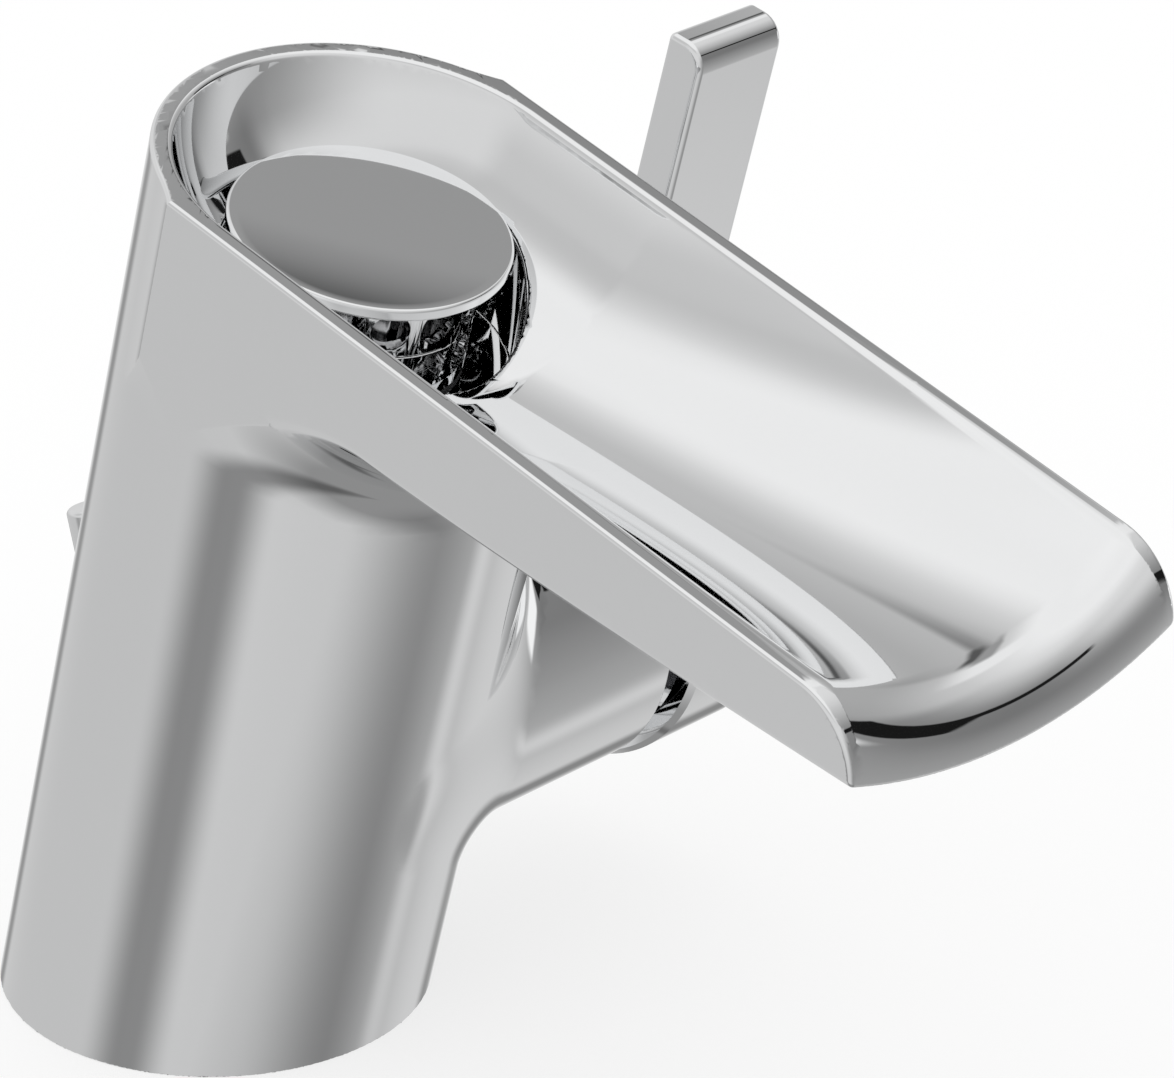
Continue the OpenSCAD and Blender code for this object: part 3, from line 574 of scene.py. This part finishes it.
def bar(name, outline, start, end, edge, place, material, steps=8):
    # an outline drawn out along the third axis, its two ends rounded over
    profile, facing = softened(outline, steps, True)
    quarter = [math.pi / 2 * s / steps for s in range(steps + 1)]
    levels = [(start + edge * (1 - math.sin(a)), a, -1) for a in reversed(quarter)]
    levels += [(end - edge * (1 - math.sin(a)), a, 1) for a in quarter]
    points, normals, faces = [], [], []
    for height, a, way in levels:
        for at, side in zip(profile, facing):
            inset = at - side * (edge * (1 - math.cos(a)))
            points.append((inset.x, inset.y, height))
            normals.append((side.x * math.cos(a), side.y * math.cos(a), way * math.sin(a)))
    count = len(profile)
    for row in range(len(levels) - 1):
        for k in range(count):
            m = (k + 1) % count
            faces.append((row * count + k, row * count + m, (row + 1) * count + m, (row + 1) * count + k))
    faces.append(tuple(reversed(range(count))))
    faces.append(tuple(range((len(levels) - 1) * count, len(levels) * count)))
    return placedPiece(name, points, normals, faces, place, material)


# The outlet cap: a thin disc, slightly dished, on a round boss

cap = {"radius": 15.7, "bottom": 105.2, "top": 106.7, "edge": 0.35, "lowerEdge": 0.4, "sag": 0.3,
       "dishInset": 1.2, "dishSteps": 16, "bossRadius": 11.55, "bossBottom": 103.4, "bossEdge": 0.2,
       "boreRadius": 2.5, "boreTop": 105.7, "boreEdge": 0.1, "around": 160}


def buildCap():
    c = cap
    dish = []
    for k in range(c["dishSteps"], -1, -1):
        share = k / c["dishSteps"]
        across = (c["radius"] - c["edge"] * c["dishInset"]) * share
        dish.append((across, c["top"] - c["sag"] * (1 - share * share), 0))
    outline = [
        (0, c["boreTop"], 0), (c["boreRadius"], c["boreTop"], c["boreEdge"]),
        (c["boreRadius"], c["bossBottom"], c["bossEdge"]), (c["bossRadius"], c["bossBottom"], c["bossEdge"]),
        (c["bossRadius"], c["bottom"], c["bossEdge"]), (c["radius"], c["bottom"], c["lowerEdge"]),
        (c["radius"], c["top"], c["edge"]), *dish]
    piece = turned("capDisc", outline, leanPlace, finishes["chrome"], c["around"])
    stands(piece, "mixer_body", "chrome", "outlet_cap")


# The perforated rings and the slotted sleeve inside them: their holes are cut by geometry nodes.
# First is the first hole's bearing, in degrees from the spout's side.

rings = {
    "upperRing": {
        "node": "upper_ring", "finish": "chromeTrim", "slot": "chrome_trim",
        "outer": 13.0, "inner": 11.6, "bottom": 98.65, "top": 105.2, "edge": 0.12,
        "round": True, "count": 14, "width": 4.4, "tall": 4.4, "height": 101.925, "first": -4.4},
    "lowerRing": {
        "node": "lower_ring", "finish": "chromeTrim", "slot": "chrome_trim",
        "outer": 13.0, "inner": 11.6, "bottom": 93.8, "top": 98.55, "edge": 0.12,
        "round": True, "count": 14, "width": 4.4, "tall": 4.4, "height": 96.225, "first": -4.4},
    "slottedSleeve": {
        "node": "flow_sleeve", "finish": "steel", "slot": "steel",
        "outer": 10.6, "inner": 9.6, "bottom": 93.8, "top": 103.35, "edge": 0.12,
        "round": False, "count": 16, "width": 1.6, "tall": 6.55, "height": 98.575, "first": 0.0},
}
ringMesh = {"perHole": 12, "edgeSteps": 2, "holeSides": 40, "cutterWalls": 3.0, "sharpAngle": 48}


def holeTree(isRound):
    group = bpy.data.node_groups.new("perforations", "GeometryNodeTree")
    face = group.interface
    face.new_socket("Wall", in_out="INPUT", socket_type="NodeSocketGeometry")
    kinds = {"Count": "NodeSocketInt", "Radius": "NodeSocketFloat", "Height": "NodeSocketFloat",
             "First": "NodeSocketFloat", "Depth": "NodeSocketFloat", "Width": "NodeSocketFloat",
             "Tall": "NodeSocketFloat", "Finish": "NodeSocketMaterial"}
    names = {label: face.new_socket(label, in_out="INPUT", socket_type=kind).identifier
             for label, kind in kinds.items()}
    face.new_socket("Cut", in_out="OUTPUT", socket_type="NodeSocketGeometry")
    net = Tree(group)
    given = net.add("NodeGroupInput").outputs
    circle = net.add("GeometryNodeMeshCircle", values={"Vertices": given["Count"], "Radius": given["Radius"]})
    spin = net.add("ShaderNodeCombineXYZ", values={"Z": given["First"]})
    lift = net.add("ShaderNodeCombineXYZ", values={"Z": given["Height"]})
    spots = net.add("GeometryNodeTransform", values={
        "Geometry": circle.outputs[0], "Translation": lift.outputs[0], "Rotation": spin.outputs[0]})
    if isRound:
        half = net.add("ShaderNodeMath", {"operation": "MULTIPLY"}, values={0: given["Width"], 1: 0.5})
        upright = net.add("GeometryNodeMeshCylinder", values={
            "Vertices": ringMesh["holeSides"], "Radius": half.outputs[0], "Depth": given["Depth"]})
        cutter = net.add("GeometryNodeTransform", values={
            "Geometry": upright.outputs[0], "Rotation": (0, math.pi / 2, 0)})
    else:
        size = net.add("ShaderNodeCombineXYZ", values={
            "X": given["Depth"], "Y": given["Width"], "Z": given["Tall"]})
        cutter = net.add("GeometryNodeMeshCube", values={"Size": size.outputs[0]})
    outward = net.add("FunctionNodeAlignRotationToVector", {"axis": "X", "pivot_axis": "Z"}, values={
        "Vector": net.add("GeometryNodeInputPosition").outputs[0]})
    cutters = net.add("GeometryNodeInstanceOnPoints", values={
        "Points": spots.outputs[0], "Instance": cutter.outputs[0], "Rotation": outward.outputs[0]})
    cut = net.add("GeometryNodeMeshBoolean", {"operation": "DIFFERENCE"}, values={
        "Mesh 1": given["Wall"], "Mesh 2": cutters.outputs[0]})
    whole = net.add("GeometryNodeRealizeInstances", values={"Geometry": cut.outputs[0]})
    dressed = net.add("GeometryNodeSetMaterial", values={
        "Geometry": whole.outputs[0], "Material": given["Finish"]})
    net.add("NodeGroupOutput", values={"Cut": dressed.outputs[0]})
    return group, names


def buildRings():
    for name, r in rings.items():
        edge = r["edge"]
        outline = [(r["inner"], r["bottom"], edge), (r["outer"], r["bottom"], edge),
                   (r["outer"], r["top"], edge), (r["inner"], r["top"], edge)]
        finish = finishes[r["finish"]]
        around = r["count"] * ringMesh["perHole"]
        piece = turned(name, outline, Matrix.Identity(4), finish, around, True, ringMesh["edgeSteps"])
        group, names = holeTree(r["round"])
        modifier = piece.modifiers.new("perforations", "NODES")
        modifier.node_group = group
        depth = ringMesh["cutterWalls"] * (r["outer"] - r["inner"])
        values = {"Count": r["count"], "Radius": (r["outer"] + r["inner"]) / 2, "Height": r["height"],
                  "First": math.radians(r["first"] - 90), "Depth": depth,
                  "Width": r["width"], "Tall": r["tall"], "Finish": finish}
        for label, value in values.items():
            modifier[names[label]] = value
        mesh = bpy.data.meshes.new_from_object(piece.evaluated_get(bpy.context.evaluated_depsgraph_get()))
        piece.modifiers.clear()
        piece.data = mesh
        mesh.transform(leanPlace)
        mesh.polygons.foreach_set("use_smooth", [True] * len(mesh.polygons))
        mesh.set_sharp_from_angle(angle=math.radians(ringMesh["sharpAngle"]))
        stands(piece, "mixer_body", r["slot"], r["node"])


# The lever bar: a flat bar with rounded edges, its top rounded over towards the front

lever = {"half": 2.75, "foot": 21.8, "tip": 75.2, "backDrop": 0.4, "frontRadius": 3.0, "backRadius": 0.8,
         "footRadius": 0.8, "edge": 0.75, "start": 46.9, "end": 60.7}


def buildLever():
    v = lever
    outline = [
        (-v["half"], v["foot"], v["footRadius"]), (v["half"], v["foot"], v["footRadius"]),
        (v["half"], v["tip"] - v["backDrop"], v["backRadius"]), (-v["half"], v["tip"], v["frontRadius"])]
    piece = bar("leverBar", outline, v["start"], v["end"], v["edge"], barPlace, finishes["chrome"])
    stands(piece, "handle", "chrome", "lever_bar")


# The lift knob: a short round knob with a softly rounded top

knob = {"radius": 3.0, "length": 9.0, "edge": 0.7, "lowerEdge": 0.35, "crown": 0.12,
        "bore": 2.25, "boreDepth": 3.1, "boreEdge": 0.1, "around": 72}


def buildKnob():
    k = knob
    top = (0.0, casting["rodTop"][0], casting["rodTop"][1])
    place = Matrix.Translation([v * mm for v in top])
    place = place @ Matrix.Rotation(math.radians(-casting["rodTilt"]), 4, "X") @ Matrix.Scale(mm, 4)
    boreTop = -k["length"] + k["boreDepth"]
    outline = [
        (0, boreTop, 0), (k["bore"], boreTop, k["boreEdge"]), (k["bore"], -k["length"], k["boreEdge"]),
        (k["radius"], -k["length"], k["lowerEdge"]), (k["radius"], -k["crown"], k["edge"]), (0, 0, 0)]
    piece = turned("knobCap", outline, place, finishes["chrome"], k["around"])
    stands(piece, "lift", "chrome", "lift_knob")


buildCap()
buildRings()
buildLever()
buildKnob()
print("stage 3: outlet, lever and knob")


# Studio: plain white light and background, and grey tones with soft cards that only reflections show

# Tones are grey levels by height in degrees. A card has its strength and grey level, then its bearing and
# its height as middle, half width and soft edge, and how much its height changes with the bearing.
studio = {
    "tones": [(-90, 0.29), (-70, 0.29), (-60, 0.45), (-50, 0.62), (-40, 0.65), (-20, 0.63), (-10, 0.66),
              (0, 0.70), (10, 0.74), (30, 0.735), (40, 0.72), (50, 0.80), (55, 0.88), (60, 0.93), (70, 0.92),
              (90, 0.96)],
    "cards": [
        (0.55, 0.00, 28, 33, 38, -25, 45, 16, 0),
        (0.58, 0.00, -103, 14, 11, -50, 35, 10, 0),
        (0.60, 0.00, 119, 8, 6, -42, 12, 8, 0),
        (0.90, 0.80, 137, 9, 6, -22, 9, 5, 0),
        (0.50, 0.00, 157, 5, 4, -24, 9, 5, 0),
        (0.09, 0.00, -150, 40, 20, -25, 22, 12, 0),
        (0.42, 0.00, 78, 44, 12, 12, 22, 18, 0),
        (0.35, 0.00, 56, 17, 6, 20, 14, 14, 0),
        (0.24, 0.00, -75, 50, 20, 49, 8, 7, 0),
        (0.18, 0.00, -128, 18, 14, 30, 16, 12, 0),
        (0.22, 0.00, 130, 19, 3, 32, 18, 10, 0),
        (0.80, 0.92, 101, 8, 3, 47, 10, 6, 0),
        (1.00, 0.01, 62, 11.0, 0.8, 12.5, 5.6, 0.6, -0.3),
        (1.00, 0.01, 44.5, 7.5, 0.8, 21.2, 1.9, 0.6, -0.25),
        (1.00, 1.00, 68, 11, 3, -6, 9, 2, 0),
        (0.60, 0.78, 64, 6, 6, -44, 6, 6, 0),
        (1.00, 0.335, 117, 8, 3, 43, 3.5, 1.5, 0),
        (1.00, 0.10, 119, 6, 3, 37.6, 2.4, 1.6, 0),
    ],
}


def buildWorld():
    world = bpy.data.worlds.new("studio")
    scene.world = world
    shade = shaderOf(world)
    toward = shade.add("ShaderNodeTexCoord").outputs["Generated"]
    apart = shade.add("ShaderNodeSeparateXYZ", values={"Vector": toward})
    x, y, z = (shade.term(apart, k) for k in range(3))
    # kept just inside the arcsine's range
    height = z.math("MINIMUM", 0.9999).math("MAXIMUM", -0.9999).math("ARCSINE") * (180 / math.pi)
    bearing = x.math("ARCTAN2", -y) * (180 / math.pi)

    def edge(value, half, soft):
        # 1 within the half width, falling to 0 over the soft edge
        return shade.number("ShaderNodeMapRange", settings={"interpolation_type": "SMOOTHSTEP"}, values={
            "Value": value.math("ABSOLUTE"), "From Min": half - soft, "From Max": half + soft,
            "To Min": 1.0, "To Max": 0.0})

    def card(bearingMiddle, bearingHalf, bearingSoft, heightMiddle, heightHalf, heightSoft, tilt):
        away = (bearing - bearingMiddle).math("WRAP", 180.0, -180.0)
        above = height - heightMiddle - away * tilt
        return edge(away, bearingHalf, bearingSoft) * edge(above, heightHalf, heightSoft)

    stops = [((degrees + 90) / 180, tone) for degrees, tone in studio["tones"]]
    tone = shade.number("ShaderNodeValToRGB", stops=stops, values={"Fac": (height + 90) / 180})
    for strength, level, *place in studio["cards"]:
        mask = card(*place) * strength
        tone = tone * (1 - mask) + mask * level
    path = shade.add("ShaderNodeLightPath")
    glossy = shade.term(path, "Is Glossy Ray")
    panels = shade.add("ShaderNodeBackground", values={"Color": tone.socket, "Strength": 1.0})
    white = shade.add("ShaderNodeBackground", values={"Color": (1, 1, 1, 1), "Strength": 1.0})
    mixed = shade.add("ShaderNodeMixShader", values={0: glossy, 1: white.outputs[0], 2: panels.outputs[0]})
    shade.add("ShaderNodeOutputWorld", values={"Surface": mixed.outputs[0]})


# The floor: pale paper that reflections leave out
paper = {"half": 6.0, "diffuse": 0.3, "glow": 0.7}


def buildFloor():
    half = paper["half"]
    mesh = bpy.data.meshes.new("floor")
    mesh.from_pydata([(-half, -half, 0), (half, -half, 0), (half, half, 0), (-half, half, 0)], [],
                     [(0, 1, 2, 3)])
    floor = bpy.data.objects.new("floor", mesh)
    scene.collection.objects.link(floor)
    material = bpy.data.materials.new("floorPaper")
    shade = shaderOf(material)
    lit = shade.add("ShaderNodeBsdfDiffuse", values={"Color": (*[paper["diffuse"]] * 3, 1)})
    own = shade.add("ShaderNodeEmission", values={"Color": (*[paper["glow"]] * 3, 1), "Strength": 1.0})
    both = shade.add("ShaderNodeAddShader", values={0: lit.outputs[0], 1: own.outputs[0]})
    shade.add("ShaderNodeOutputMaterial", values={"Surface": both.outputs[0]})
    mesh.materials.append(material)
    floor.visible_glossy = False


# The photograph's own viewpoint, worked out from the outlines of the body, bowl and spout: metres and degrees
photoView = {"seat": (-0.38879, -0.436146, 0.329073), "azimuth": 45.522, "elevation": 25.265, "roll": -0.518,
             "sensor": 36.0, "lens": 173.04, "shift": (0.03996, 0.01142), "clip": (0.01, 50.0)}


def buildCamera():
    seat = Vector(photoView["seat"])
    azimuth, elevation, roll = (math.radians(photoView[key]) for key in ("azimuth", "elevation", "roll"))
    forward = Vector((math.sin(azimuth) * math.cos(elevation), math.cos(azimuth) * math.cos(elevation),
                      -math.sin(elevation)))
    right = forward.cross(Vector((0, 0, 1))).normalized()
    up = right.cross(forward)
    right, up = math.cos(roll) * right + math.sin(roll) * up, math.cos(roll) * up - math.sin(roll) * right
    data = bpy.data.cameras.new("photoCamera")
    camera = bpy.data.objects.new("photoCamera", data)
    scene.collection.objects.link(camera)
    camera.matrix_world = Matrix((
        (right.x, up.x, -forward.x, seat.x), (right.y, up.y, -forward.y, seat.y),
        (right.z, up.z, -forward.z, seat.z), (0, 0, 0, 1)))
    data.sensor_width, data.lens = photoView["sensor"], photoView["lens"]
    data.shift_x, data.shift_y = photoView["shift"]
    data.clip_start, data.clip_end = photoView["clip"]
    scene.camera = camera


buildWorld()
buildFloor()
buildCamera()
scene.view_settings.view_transform = "Standard"
print("stage 4: studio and camera")
